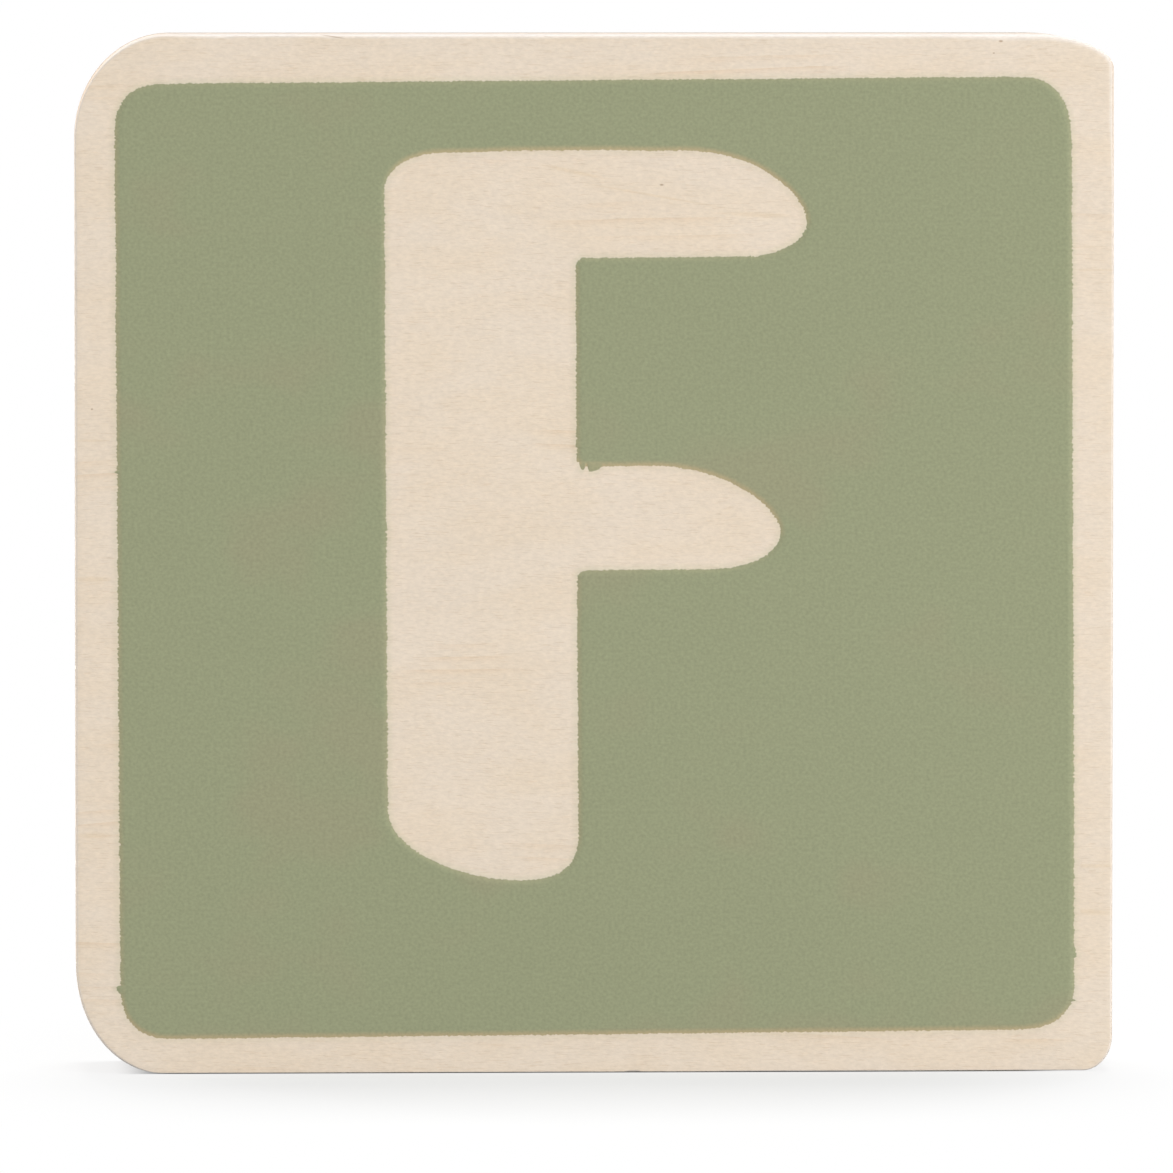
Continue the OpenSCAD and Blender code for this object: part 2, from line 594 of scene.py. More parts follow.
@dataclass(frozen=True)
class EndGrain:
    """Darker, porous look of a ply where its cut edge crosses the fibres."""

    pore_size: Colour = (2.0, 0.09, 0.09)
    cut: tuple[float, float] = (0.45, 0.92)
    pore: tuple[float, float] = (0.02, 0.2)

    def build(self) -> NodeTree:
        """Makes the group, which reads a place in millimetres with the fibres along X.

        Returns:
            The group, which gives a mask of the cut fibres and one of the pores among them.
        """
        recipe = new_group(
            "end_grain",
            {"Place": VECTOR, "Normal": VECTOR, "Fibres": VECTOR},
            {"Mask": VALUE, "Pores": VALUE},
        )
        source = recipe.tree.nodes["Group Input"].outputs
        result = recipe.tree.nodes["Group Output"].inputs
        across = recipe.math("ABSOLUTE", recipe.vector("DOT_PRODUCT", source["Normal"], source["Fibres"]))
        mask = recipe.step(across, *self.cut)
        pores = recipe.step(recipe.noise(source["Place"], self.pore_size, TWO_LAYERS), *self.pore)
        recipe.feed(result["Mask"], mask)
        recipe.feed(result["Pores"], recipe.math("MULTIPLY", mask, pores))
        return recipe.tree


@dataclass(frozen=True)
class FineMottle:
    """Fine even unrest of a film that dried on wood, with slow clouds under it."""

    speckle_size: Colour = (0.19, 0.19, 0.17)
    cloud_size: Colour = (9.0, 9.0, 6.0)

    def build(self) -> NodeTree:
        """Makes the group, which reads a place in millimetres.

        Returns:
            The group, which gives a speckle and a cloud, both about zero.
        """
        recipe = new_group("fine_mottle", {"Place": VECTOR}, {"Speckle": VALUE, "Cloud": VALUE})
        place = recipe.tree.nodes["Group Input"].outputs["Place"]
        result = recipe.tree.nodes["Group Output"].inputs
        recipe.feed(result["Speckle"], recipe.noise(place, self.speckle_size, ONE_LAYER))
        recipe.feed(result["Cloud"], recipe.noise(place, self.cloud_size, TWO_LAYERS))
        return recipe.tree


@dataclass(frozen=True)
class SharedEffects:
    """The node groups that more than one finish uses, each built once."""

    birch: NodeTree
    end_grain: NodeTree
    mottle: NodeTree

    @classmethod
    def build(cls) -> SharedEffects:
        """Builds every group."""
        return cls(BirchFigure().build(), EndGrain().build(), FineMottle().build())


def new_material(name: str) -> tuple[Material, Recipe, Node]:
    """Starts a material.

    Args:
        name: Name of the material.

    Returns:
        The material, the recipe that fills it, and its Principled BSDF.
    """
    material = bpy.data.materials.new(name)
    material.use_nodes = True
    return material, Recipe(material.node_tree), material.node_tree.nodes["Principled BSDF"]


def millimetres(recipe: Recipe, turn: float = 0.0, start: Colour = (0.0, 0.0, 0.0)) -> Socket:
    """Object coordinates in millimetres.

    Args:
        recipe: The material's recipe.
        turn: Turn about Y, in radians.
        start: Where the pattern begins, in millimetres.

    Returns:
        The place as a vector socket.
    """
    feeds = {
        "Vector": recipe.node("ShaderNodeTexCoord").outputs["Object"],
        "Scale": (1 / MM, 1 / MM, 1 / MM),
        "Rotation": (0.0, turn, 0.0),
        "Location": start,
    }
    return recipe.node("ShaderNodeMapping", feeds, vector_type="POINT").outputs["Vector"]


@dataclass(frozen=True)
class Surface:
    """Roughness, gloss and relief of a finish.

    The relief's depth is that of a height of one unit, in millimetres, and its strength is the share
    of it that shows.
    """

    roughness: float
    gloss: float
    relief_depth: float
    relief_strength: float

    def lay(self, recipe: Recipe, shader: Node, colour: Socket, height: Socket) -> None:
        """Feeds a finish into its shader.

        Args:
            recipe: The material's recipe.
            shader: Its Principled BSDF.
            colour: Colour of the finish.
            height: Height of its relief, with features about one unit tall.
        """
        feeds = {"Height": height, "Distance": self.relief_depth * MM, "Strength": self.relief_strength}
        relief = recipe.node("ShaderNodeBump", feeds)
        recipe.feed(shader.inputs["Base Color"], colour)
        recipe.feed(shader.inputs["Normal"], relief.outputs["Normal"])
        recipe.feed(shader.inputs["Roughness"], self.roughness)
        recipe.feed(shader.inputs["Specular IOR Level"], self.gloss)


@dataclass(frozen=True)
class PinMark:
    """Small dark fleck, painted shadow line of a splinter, or growth streak, at a place on the face of a
    veneer.
    """

    x: float
    z: float
    length: float
    height: float
    tilt: float = 0.0
    depth: float = 1.0


@dataclass(frozen=True)
class BirchFinish:
    """Bare sanded birch of one ply, cut from its own stretch of the log."""

    name: str
    grain: Grain
    start: Colour
    tone: Colour = (0.817, 0.702, 0.573)
    end_tone: Colour = (0.88, 0.80, 0.70)
    pore_tone: Colour = (0.86, 0.79, 0.70)
    # Tone of the dark flecks, and of the painted shadow line of the splinter
    pin_tone: Colour = (0.62, 0.54, 0.47)
    pin_marks: tuple[PinMark, ...] = ()
    streak_tone: Colour = (0.970, 0.945, 0.895)
    streaks: tuple[PinMark, ...] = ()
    pin_fade: tuple[float, float] = (0.3, 1.2)
    # Paler, bluer tone of the sanded arris and cut edge: partly paler sanded wood, partly a painted sheen
    sanded_tone: Colour = (0.93, 1.02, 1.195)
    surface: Surface = Surface(roughness=0.62, gloss=0.3, relief_depth=0.02, relief_strength=0.5)

    def material(self, effects: SharedEffects, face: float = 0.0) -> Material:
        """Mixes the finish.

        Args:
            effects: The shared node groups.
            face: Y of the face that the pin marks lie on, in metres.

        Returns:
            The ply's own material.
        """
        material, recipe, shader = new_material(self.name)
        place = self.place(recipe)
        figure = recipe.group(effects.birch, Place=place, Tone=(*self.tone, 1.0))
        normal = recipe.node("ShaderNodeTexCoord").outputs["Normal"]
        cut = recipe.group(effects.end_grain, Place=place, Normal=normal, Fibres=self.grain.axis)
        colour = recipe.blend("MULTIPLY", cut.outputs["Mask"], figure.outputs["Color"], self.end_tone)
        colour = recipe.blend("MULTIPLY", cut.outputs["Pores"], colour, self.pore_tone)
        for marks, tone in ((self.streaks, self.streak_tone), (self.pin_marks, self.pin_tone)):
            if marks:
                colour = recipe.blend("MULTIPLY", self.marked(recipe, marks, face), colour, tone)
        # The sanded mark pales the arris and the cut edge: partly sanded wood, partly a painted sheen
        sanded = recipe.node("ShaderNodeAttribute", attribute_name=FaceVeneer.sanded_name)
        colour = recipe.blend("MULTIPLY", sanded.outputs["Fac"], colour, self.sanded_tone)
        height = recipe.math("SUBTRACT", figure.outputs["Height"], cut.outputs["Pores"])
        self.surface.lay(recipe, shader, colour, height)
        return material

    def place(self, recipe: Recipe) -> Socket:
        """Place in this stretch of the log, in millimetres, with the fibres along X."""
        return millimetres(recipe, self.grain.turn, self.start)

    def marked(self, recipe: Recipe, marks: tuple[PinMark, ...], face: float) -> Socket:
        """Mask of some marks in the wood.

        Args:
            recipe: The material's recipe.
            marks: The marks.
            face: Y of the face that they lie on, in metres.

        Returns:
            The mask.
        """
        place = millimetres(recipe)
        mask: Feed = 0.0
        for mark in marks:
            away = recipe.vector("SUBTRACT", place, (mark.x, face / MM, mark.z))
            feeds = {"Vector": away, "Angle": math.radians(mark.tilt)}
            turned = recipe.node("ShaderNodeVectorRotate", feeds, rotation_type="Y_AXIS")
            sizes = (2 / mark.length, 2 / mark.depth, 2 / mark.height)
            across = recipe.vector("MULTIPLY", turned.outputs["Vector"], sizes)
            spot = recipe.step(recipe.vector("LENGTH", across), *self.pin_fade)
            mask = recipe.math("MAXIMUM", mask, recipe.math("SUBTRACT", 1.0, spot))
        return mask


@dataclass(frozen=True)
class GlueFinish:
    """Thin brown glue that shows as a line between two plies."""

    name: str = "glue_film"
    tone: Colour = (0.300, 0.190, 0.105)
    mottle: float = 0.35
    surface: Surface = Surface(roughness=0.45, gloss=0.35, relief_depth=0.01, relief_strength=0.4)

    def material(self, effects: SharedEffects) -> Material:
        """Mixes the finish from the shared node groups.

        Args:
            effects: The shared node groups.

        Returns:
            The material.
        """
        material, recipe, shader = new_material(self.name)
        film = recipe.group(effects.mottle, Place=millimetres(recipe))
        unrest = recipe.math("ADD", film.outputs["Speckle"], film.outputs["Cloud"])
        change = recipe.math("MULTIPLY", unrest, self.mottle)
        tone = recipe.node("ShaderNodeRGB")
        tone.outputs["Color"].default_value = (*self.tone, 1.0)
        colour = recipe.lighten(tone.outputs["Color"], change)
        self.surface.lay(recipe, shader, colour, film.outputs["Speckle"])
        return material


@dataclass(frozen=True)
class SagePaint:
    """Matte sage paint, printed on the wood, with an ochre rim along its edge, partly a stain and partly
    painted shade on the edges that face down, and painted shade on the wood where the print bleeds over
    it.
    """

    wood: BirchFinish
    name: str = "sage_print"
    tone: Colour = (0.313, 0.333, 0.200)
    brown_tone: Colour = (1.03, 0.97, 0.99)
    brown: tuple[float, float] = (0.02, 0.20)
    # Ochre of the print's rim: partly a stain, partly painted shade on the edges that face down
    rim_stain_and_shade_tone: Colour = (0.510, 0.425, 0.250)
    rim_break: float = 0.8
    rim_fade: tuple[float, float] = (0.0, 1.0)
    # Painted shade on the wood where the print bleeds over it, weaker where the rim is strong
    bleed_shade_tone: Colour = (0.860, 0.900, 0.845)
    bleed_shade_less: float = 0.5
    bleed_start: tuple[float, float] = (0.0, 0.1)
    speckle: float = 0.32
    cloud: float = 0.05
    surface: Surface = Surface(roughness=0.72, gloss=0.28, relief_depth=0.012, relief_strength=0.4)
    grain_share: float = 0.6

    def material(self, effects: SharedEffects) -> Material:
        """Mixes the finish from the shared node groups and the print's own rim.

        Args:
            effects: The shared node groups.

        Returns:
            The material.
        """
        material, recipe, shader = new_material(self.name)
        place = millimetres(recipe)
        film = recipe.group(effects.mottle, Place=place)
        speckle, cloud = film.outputs["Speckle"], film.outputs["Cloud"]
        tone = recipe.node("ShaderNodeRGB")
        tone.outputs["Color"].default_value = (*self.tone, 1.0)
        change = recipe.math(
            "ADD",
            recipe.math("MULTIPLY", speckle, self.speckle),
            recipe.math("MULTIPLY", cloud, self.cloud),
        )
        colour = recipe.lighten(tone.outputs["Color"], change)
        colour = recipe.blend("MULTIPLY", recipe.step(cloud, *self.brown), colour, self.brown_tone)
        # Ochre rim: a stain all round, made stronger on edges that face down as painted shade
        rim = recipe.node("ShaderNodeAttribute", attribute_name=PaintedField.rim_name)
        broken = recipe.math("MULTIPLY_ADD", speckle, self.rim_break, 1.0)
        stain = recipe.step(recipe.math("MULTIPLY", rim.outputs["Fac"], broken), *self.rim_fade)
        colour = recipe.blend("MIX", stain, colour, self.rim_stain_and_shade_tone)
        # Painted shade on the wood where the print bleeds over it, darkest at the print's edge
        bleed = recipe.node("ShaderNodeAttribute", attribute_name=PaintedField.bleed_name).outputs["Fac"]
        bare = recipe.group(effects.birch, Place=self.wood.place(recipe), Tone=(*self.wood.tone, 1.0))
        share = recipe.math("MULTIPLY_ADD", rim.outputs["Fac"], -self.bleed_shade_less, 1.0)
        bleed_shade = recipe.math("MULTIPLY", recipe.math("SUBTRACT", 1.0, bleed), share)
        wood = recipe.blend("MULTIPLY", bleed_shade, bare.outputs["Color"], self.bleed_shade_tone)
        colour = recipe.blend("MIX", recipe.step(bleed, *self.bleed_start), colour, wood)
        grain = recipe.group(effects.birch, Place=place).outputs["Height"]
        height = recipe.math("MULTIPLY_ADD", grain, self.grain_share, speckle)
        self.surface.lay(recipe, shader, colour, height)
        return material


@dataclass(frozen=True)
class ArrisWear:
    """A stretch of the arris that was sanded rounder, or less round, and fades out at its ends."""

    x: float
    z: float
    half_length: float
    depth: float
    fade: float
    half_height: float = 1.5

    def at(self, place: Vector) -> float:
        """How much the sanding adds to the arris at a place, in millimetres."""
        beyond = max(abs(place.x - self.x) - self.half_length, abs(place.z - self.z) - self.half_height)
        return self.depth * min(1.0, max(0.0, 1.0 - beyond / self.fade))


@dataclass
class FaceVeneer:
    """Outer ply of the tile, its arris sanded round by hand."""

    node: str
    facing: Facing
    finish: BirchFinish
    wear: tuple[ArrisWear, ...] = ()
    slot: str = LONG_PLIES
    edge_step: float = 0.15
    arris_steps: int = 6
    flat_rim: float = 0.3
    unevenness: float = 0.02
    unevenness_run: float = 2.6
    least_arris: float = 0.04
    least_lean: float = 0.01
    # Sanded mark on the cut edge behind the arris: paler sanded wood with a painted sheen
    edge_paleness: float = 0.5
    smooth_angle: float = 40.0

    # Attribute of the sanded mark, which also carries a painted sheen
    sanded_name = "sanded"

    @property
    def face(self) -> float:
        """Y of the veneer's flat side, in metres."""
        low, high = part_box(self.node)
        return low.y if self.facing is Facing.FRONT else high.y

    def build(self, cutter: SheetCutter, source: Piece) -> Piece:
        """Cuts the veneer and rounds its arris.

        Args:
            cutter: Cuts sheets to the tile's outline.
            source: The CAD node that the veneer stands for.

        Returns:
            The veneer.
        """
        low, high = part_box(self.node)
        face = self.face
        arris = min(abs(v.co.y - face) for v in source.data.vertices if high.x - v.co.x < SAME_PLACE)
        veneer = cutter.cut(f"{self.node}_sanded", low.y, high.y)
        split_long_edges(veneer, self.edge_step * MM)
        with editing(veneer, Part.EDGES):
            choose(veneer, Part.EDGES, lambda e: is_rim(e) and abs(e.verts[0].co.y - face) < SAME_PLACE)
            round_edges(arris, self.arris_steps)
        with editing(veneer, Part.FACES):
            choose(veneer, Part.FACES, lambda f: all(abs(v.co.y - face) < SAME_PLACE for v in f.verts))
            bpy.ops.mesh.inset(thickness=self.flat_rim * MM)
        self.sand(veneer, face, arris)
        smooth_by_angle(veneer, self.smooth_angle)
        return veneer

    def sand(self, veneer: Piece, face: float, arris: float) -> None:
        """Sands the arris to an uneven radius and marks it paler and bluer: partly the paler sanded wood,
        partly a painted sheen that grows towards the cut edge.

        Args:
            veneer: The veneer.
            face: Y of its flat side, in metres.
            arris: Radius of its arris, in metres.
        """
        outward = Vector((0.0, self.facing.value, 0.0))
        sanded = veneer.data.attributes.new(self.sanded_name, "FLOAT", "POINT").data
        moves = []
        for vertex in veneer.data.vertices:
            depth_in = abs(vertex.co.y - face)
            if depth_in > arris + SAME_PLACE:
                sanded[vertex.index].value = self.edge_paleness
                continue
            side = Vector((vertex.normal.x, 0.0, vertex.normal.z))
            if side.length < self.least_lean:
                continue
            place = vertex.co / MM
            hand = (noise.noise(place / self.unevenness_run) + 1.0) / 2
            growth = self.unevenness * hand + sum(wear.at(place) for wear in self.wear)
            cosine = 1.0 - min(1.0, depth_in / arris)
            sine = math.sqrt(1.0 - cosine * cosine)
            inward = side.normalized() * (sine - 1.0) + outward * (cosine - 1.0)
            growth = max(growth, self.least_arris - arris / MM)
            moves.append((vertex.index, inward * growth * MM))
            # The painted sheen and the sanded paleness grow along the arris towards the cut edge
            sanded[vertex.index].value = sine
        for index, move in moves:
            veneer.data.vertices[index].co += move

    def dress(self, veneer: Piece, effects: SharedEffects) -> None:
        """Gives the veneer its wood and lets it stand for its node."""
        seat(veneer, self.finish.material(effects, self.face), self.node)


@dataclass
class InnerPly:
    """One of the plies inside, of which only the cut edge shows."""

    node: str
    finish: BirchFinish
    slot: str
    draw_in: float
    edge_round: float = 0.05
    edge_steps: int = 3
    smooth_angle: float = 50.0

    def build(self, cutter: SheetCutter) -> Piece:
        """Cuts the ply and takes the sharpness off its edges.

        Args:
            cutter: Cuts sheets to the tile's outline.

        Returns:
            The ply.
        """
        low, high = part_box(self.node)
        ply = cutter.cut(f"{self.node}_cut", low.y, high.y, self.draw_in * MM)
        with editing(ply, Part.EDGES):
            choose(ply, Part.EDGES, is_rim)
            round_edges(self.edge_round * MM, self.edge_steps)
        smooth_by_angle(ply, self.smooth_angle)
        return ply

    def dress(self, ply: Piece, effects: SharedEffects) -> None:
        """Gives the ply its wood and lets it stand for its node."""
        seat(ply, self.finish.material(effects), self.node)


@dataclass
class GlueLine:
    """Film of glue between two plies, a little below their edges."""

    node: str
    slot: str = "glue"
    draw_in: float = 0.04
    smooth_angle: float = 50.0

    def build(self, cutter: SheetCutter) -> Piece:
        """Cuts the film.

        Args:
            cutter: Cuts sheets to the tile's outline.

        Returns:
            The film.
        """
        low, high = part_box(self.node)
        film = cutter.cut(f"{self.node}_film", low.y, high.y, self.draw_in * MM)
        smooth_by_angle(film, self.smooth_angle)
        return film

    def dress(self, film: Piece, glue: Material) -> None:
        """Gives the film its glue and lets it stand for its node."""
        seat(film, glue, self.node)


@dataclass(frozen=True)
class PrintFlaw:
    """Spur, nick or drift in the edge of the print, that pulls a stretch of the edge aside.

    The stretch runs along X where the edge is level and along Z where it is upright, and reaches
    one length back and another length ahead from its middle. An edge farther than the nearest
    distance to the side of it stays.
    """

    x: float
    z: float
    pull: tuple[float, float]
    back: float
    ahead: float
    level: bool = False
    nearest: float = 0.6
    drift_length: float = 1.0

    @property
    def is_drift(self) -> bool:
        """Whether the whole print is off here, and not only a spur of its edge."""
        return self.back + self.ahead >= self.drift_length

    def at(self, place: Vector) -> Vector:
        """How far the edge is pulled at a place.

        Args:
            place: The place, in millimetres.

        Returns:
            The pull, in millimetres.
        """
        away = place.x - self.x, place.z - self.z
        along, across = away if self.level else reversed(away)
        if abs(across) > self.nearest:
            return Vector()
        share = max(0.0, 1.0 - abs(along) / (self.ahead if along > 0.0 else self.back))
        return Vector((self.pull[0], 0.0, self.pull[1])) * share * (2.0 - share)


def closed_loops(mesh: Mesh) -> list[list[int]]:
    """Follows the closed loops of a mesh that holds nothing but edges.

    Args:
        mesh: The mesh.

    Returns:
        The points of each loop in order.
    """
    beside: dict[int, list[int]] = {vertex.index: [] for vertex in mesh.vertices}
    for edge in mesh.edges:
        first, second = edge.vertices
        beside[first].append(second)
        beside[second].append(first)
    loops = []
    unseen = set(beside)
    while unseen:
        here = min(unseen)
        loop = []
        while here is not None:
            loop.append(here)
            unseen.discard(here)
            here = next((near for near in beside[here] if near in unseen), None)
        loops.append(loop)
    return loops


def signed_area(points: list[Vector]) -> float:
    """Area inside a loop on the face of the tile, positive where the loop runs counter-clockwise."""
    pairs = zip(points, points[1:] + points[:1])
    return sum(a.x * b.z - b.x * a.z for a, b in pairs) / 2


@dataclass
class PaintedField:
    """Printed paint film that leaves the letter bare, with the ragged edge of a print on wood."""

    finish: SagePaint
    flaws: tuple[PrintFlaw, ...]
    node: str = "painted_field"
    slot: str = "sage_paint"
    edge_step: float = 0.06
    chord_steps: int = 4
    fray: tuple[float, float] = (0.10, 0.06)
    fray_size: Colour = (0.11, 1.0, 0.075)
    wave: float = 0.02
    wave_size: Colour = (3.5, 1.0, 3.5)
    wave_seed: int = 5
    wall_share: float = 0.1
    slope: float = 0.20
    stain: float = 0.36
    # Direction into the paint where the rim is strongest: painted shade on edges that face down, over an
    # all-round stain
    stain_and_shade_side: tuple[float, float] = (-0.30, -0.95)
    stain_least: float = 0.25
    spur_paint: float = 0.7
    spur_size: float = 0.15
    bleed: float = 0.4
    smooth_angle: float = 25.0

    inward_name = "inward"
    rim_name = "rim"
    bleed_name = "bleed"

    def build(self, source: Piece) -> Piece:
        """Frays the outline of the CAD film and raises a new film from it.

        Args:
            source: The CAD node of the paint film.

        Returns:
            The film, with its rim as an attribute.
        """
        low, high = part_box(self.node)
        thickness = high.y - low.y
        wall = thickness * self.wall_share
        film = self.outline_of(source)
        split_long_edges(film, self.edge_step * MM)
        self.mark_inward(film)
        self.pull_edge(film)
        with editing(film, Part.EDGES):
            bpy.ops.mesh.select_all(action="SELECT")
            self.raise_edge(film, wall, 0.0, 1.0)
            self.raise_edge(film, thickness - wall, self.slope * MM, 1.0 - self.slope / self.stain)
            self.raise_edge(film, 0.0, (self.stain - self.slope) * MM, 0.0)
            bpy.ops.mesh.fill(use_beauty=True)
        self.fray_edge(film, low.y, high.y)
        with editing(film, Part.EDGES):
            choose(film, Part.EDGES, lambda e: all(high.y - v.co.y < SAME_PLACE for v in e.verts))
            bpy.ops.mesh.fill(use_beauty=True)
            bpy.ops.mesh.select_all(action="SELECT")
            bpy.ops.mesh.normals_make_consistent(inside=False)
        film.data.attributes.remove(film.data.attributes[self.inward_name])
        smooth_by_angle(film, self.smooth_angle)
        corners = [abs(v.co.y - high.y + wall) < SAME_PLACE for v in film.data.vertices]
        for edge in film.data.edges:
            edge.use_edge_sharp |= all(corners[i] for i in edge.vertices)
        return film

    def outline_of(self, source: Piece) -> Piece:
        """Copies the CAD film and keeps only the outline that lies on the wood.

        Args:
            source: The CAD node of the paint film.

        Returns:
            A new object of two closed loops of edges.
        """
        mesh = source.data.copy()
        mesh.name = f"{self.node}_print"
        mesh.materials.clear()
        film = bpy.data.objects.new(f"{self.node}_print", mesh)
        bpy.context.scene.collection.objects.link(film)
        with editing(film, Part.FACES):
            bpy.ops.mesh.select_all(action="SELECT")
            bpy.ops.mesh.remove_doubles(threshold=SAME_PLACE)
            choose(film, Part.FACES, lambda f: f.normal.y < FLAT_LEAN)
            bpy.ops.mesh.delete(type="FACE")
            bpy.ops.mesh.select_all(action="SELECT")
            bpy.ops.mesh.region_to_loop()
            bpy.ops.mesh.select_all(action="INVERT")
            bpy.ops.mesh.delete(type="EDGE_FACE")
        return film

    def mark_inward(self, film: Piece) -> None:
        """Writes at each point of the outline the direction into the paint, and its stain with painted
        shade.

        Args:
            film: The film, still an outline.
        """
        mesh = film.data
        mesh.attributes.new(self.inward_name, "FLOAT_VECTOR", "POINT")
        mesh.attributes.new(self.rim_name, "FLOAT", "POINT")
        mesh.attributes.new(self.bleed_name, "FLOAT", "POINT")
        inward = mesh.attributes[self.inward_name]
        rim = mesh.attributes[self.rim_name]
        loops = closed_loops(mesh)
        areas = [signed_area([mesh.vertices[i].co for i in loop]) for loop in loops]
        widest = max(abs(area) for area in areas)
        for loop, area in zip(loops, areas):
            paint_to_left = (area > 0.0) == (abs(area) == widest)
            befores = loop[-self.chord_steps :] + loop[: -self.chord_steps]
            afters = loop[self.chord_steps :] + loop[: self.chord_steps]
            for before, here, after in zip(befores, loop, afters):
                run = mesh.vertices[after].co - mesh.vertices[before].co
                left = Vector((-run.z, 0.0, run.x)).normalized()
                into = left if paint_to_left else -left
                inward.data[here].vector = into
                rim.data[here].value = self.stain_and_shade_at(into)

    def stain_and_shade_at(self, into: Vector) -> float:
        """How strongly an edge is stained and shaded, from the direction in which its paint lies; the
        shade is painted.
        """
        turned = -into.x * self.stain_and_shade_side[0] - into.z * self.stain_and_shade_side[1]
        return self.stain_least + (1.0 - self.stain_least) * max(0.0, turned)

    def pull_edge(self, film: Piece) -> None:
        """Moves the outline's points by a slow wave and the wide drifts of the print.

        Args:
            film: The film, still an outline.
        """
        noise.seed_set(self.wave_seed)
        drifts = [flaw for flaw in self.flaws if flaw.is_drift]
        for vertex in film.data.vertices:
            place = vertex.co / MM
            wave = noise.noise_vector([a / b for a, b in zip(place, self.wave_size)])
            move = Vector((wave[0], 0.0, wave[2])) * self.wave
            vertex.co += sum((flaw.at(place) for flaw in drifts), move) * MM

    def fray_edge(self, film: Piece, front: float, wood: float) -> None:
        """Serrates the film's edge, pulls out its spurs and lets it bleed over the wood.

        Args:
            film: The film, with its edge raised.
            front: Y of its front side, in metres.
            wood: Y of the wood below it, in metres.
        """
        inward = film.data.attributes[self.inward_name].data
        rim = film.data.attributes[self.rim_name].data
        bleed = film.data.attributes[self.bleed_name].data
        spurs = [flaw for flaw in self.flaws if not flaw.is_drift]
        for vertex in film.data.vertices:
            if vertex.co.y - front < SAME_PLACE:
                continue
            into = inward[vertex.index].vector
            depth = math.hypot(into.x * self.fray[0], into.z * self.fray[1])
            place = vertex.co / MM
            unrest = noise.noise([a / b for a, b in zip(place, self.fray_size)])
            pull = sum((flaw.at(place) for flaw in spurs), Vector())
            vertex.co += (pull + into * unrest * depth) * MM
            rim[vertex.index].value *= 1.0 - self.spur_paint * min(1.0, pull.length / self.spur_size)
            if wood - vertex.co.y < SAME_PLACE:
                bleed[vertex.index].value = 1.0
                vertex.co -= into * self.bleed * MM

    def raise_edge(self, film: Piece, rise: float, inset: float, stain: float) -> None:
        """Extrudes the selected edge off the wood and into the paint.

        Args:
            film: The film, open in edit mode.
            rise: How far the new edge lies off the wood from the last one, in metres.
            inset: How far it lies into the paint from the last one, in metres.
            stain: Share of the edge's stain and painted shade that it keeps.
        """
        bpy.ops.mesh.extrude_edges_move(TRANSFORM_OT_translate={"value": (0.0, 0.0, 0.0)})
        mesh = bmesh.from_edit_mesh(film.data)
        inward = mesh.verts.layers.float_vector[self.inward_name]
        rim = mesh.verts.layers.float[self.rim_name]
        for vertex in mesh.verts:
            if vertex.select:
                vertex.co += vertex[inward] * inset - Vector((0.0, rise, 0.0))
                vertex[rim] *= stain
        bmesh.update_edit_mesh(film.data)

    def dress(self, film: Piece, effects: SharedEffects) -> None:
        """Gives the film its paint and lets it stand for its node."""
        seat(film, self.finish.material(effects), self.node)


@dataclass(frozen=True)
class SoftBox:
    """Large soft lamp that looks at the tile. Its sizes are metres, its angles degrees."""

    name: str
    azimuth: float
    elevation: float
    distance: float
    size: float
    watts: float

    def place(self, aim: Vector) -> None:
        """Hangs the lamp and turns it to the tile.

        Args:
            aim: Where the lamp looks.
        """
        deselect_all()
        bpy.ops.object.light_add(type="AREA")
        lamp = bpy.context.object
        lamp.name = self.name
        away = direction(self.azimuth, self.elevation)
        lamp.location = aim + away * self.distance
        lamp.rotation_euler = (-away).to_track_quat("-Z", "Y").to_euler()
        lamp.data.shape = "SQUARE"
        lamp.data.size = self.size
        lamp.data.energy = self.watts


def direction(azimuth: float, elevation: float) -> Vector:
    """Unit vector towards a viewer, from angles in degrees; azimuth 0 is in front of the tile."""
    a, e = math.radians(azimuth), math.radians(elevation)
    return Vector((math.sin(a) * math.cos(e), -math.cos(a) * math.cos(e), math.sin(e)))


@dataclass(frozen=True)
class PortraitCamera:
    """Camera of the portrait. Lengths are millimetres, angles degrees, and its reach is metres."""

    aim_x: float = -0.495
    aim_z: float = 28.134
    distance: float = 800.0
    azimuth: float = -2.28
    elevation: float = 3.05
    roll: float = 0.016
    frame_width: float = 67.760
    sensor: float = 36.0
    reach: float = 100.0

    def place(self, front: float) -> None:
        """Sets the camera up before the tile.

        Args:
            front: Y of the tile's front, in metres.
        """
        deselect_all()
        bpy.ops.object.camera_add()
        camera = bpy.context.object
        camera.name = "portrait_camera"
        aim = Vector((self.aim_x * MM, front, self.aim_z * MM))
        away = direction(self.azimuth, self.elevation)
        camera.location = aim + away * self.distance * MM
        level = (-away).to_track_quat("-Z", "Y").to_matrix().to_4x4()
        turned = level @ Matrix.Rotation(math.radians(self.roll), 4, "Z")
        camera.rotation_euler = turned.to_euler()
        camera.data.sensor_width = self.sensor
        camera.data.lens = self.sensor * self.distance / self.frame_width
        camera.data.clip_end = self.reach
        bpy.context.scene.camera = camera


